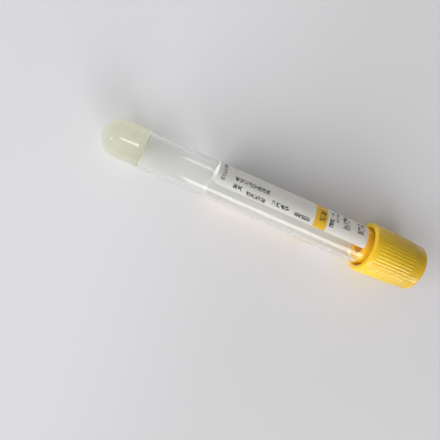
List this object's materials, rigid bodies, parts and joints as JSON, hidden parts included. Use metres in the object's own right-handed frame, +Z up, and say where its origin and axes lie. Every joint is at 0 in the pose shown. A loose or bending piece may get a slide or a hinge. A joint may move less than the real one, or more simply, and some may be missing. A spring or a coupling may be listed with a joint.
{
  "type": "blood collection tube",
  "caption": "Clear round-bottom sample tube with separator gel, a wrapped label and a push-on ribbed yellow safety cap that holds a rubber stopper.",
  "frame": {"origin": "on the surface that the tube lies on, below the middle of its overall length", "axes": "+Z up; +X along the tube towards the cap; the tube's axis rises 1.72 degrees towards +X, because it rests on its round end and on the wider lip of the cap"},
  "size_m": [0.1114, 0.0172, 0.0172],
  "materials": {
    "clear_plastic": "clear polyester, polished",
    "gel": "milky gel",
    "label_paper": "matte coated paper with yellow band and grey print",
    "stopper_rubber": "satin butyl rubber",
    "cap_plastic": "semi-gloss polyethylene"
  },
  "bodies": {
    "tube_body": {"tube": "clear_plastic", "separator_gel": "gel", "label": "label_paper"},
    "closure": {"cap": "cap_plastic", "stopper": "stopper_rubber"}
  },
  "joints": [
    {"name": "closure_pull", "type": "slide", "parent": "tube_body", "child": "closure", "axis": [0.9995, 0, 0.03], "range_m": [0, 0.03]}
  ]
}
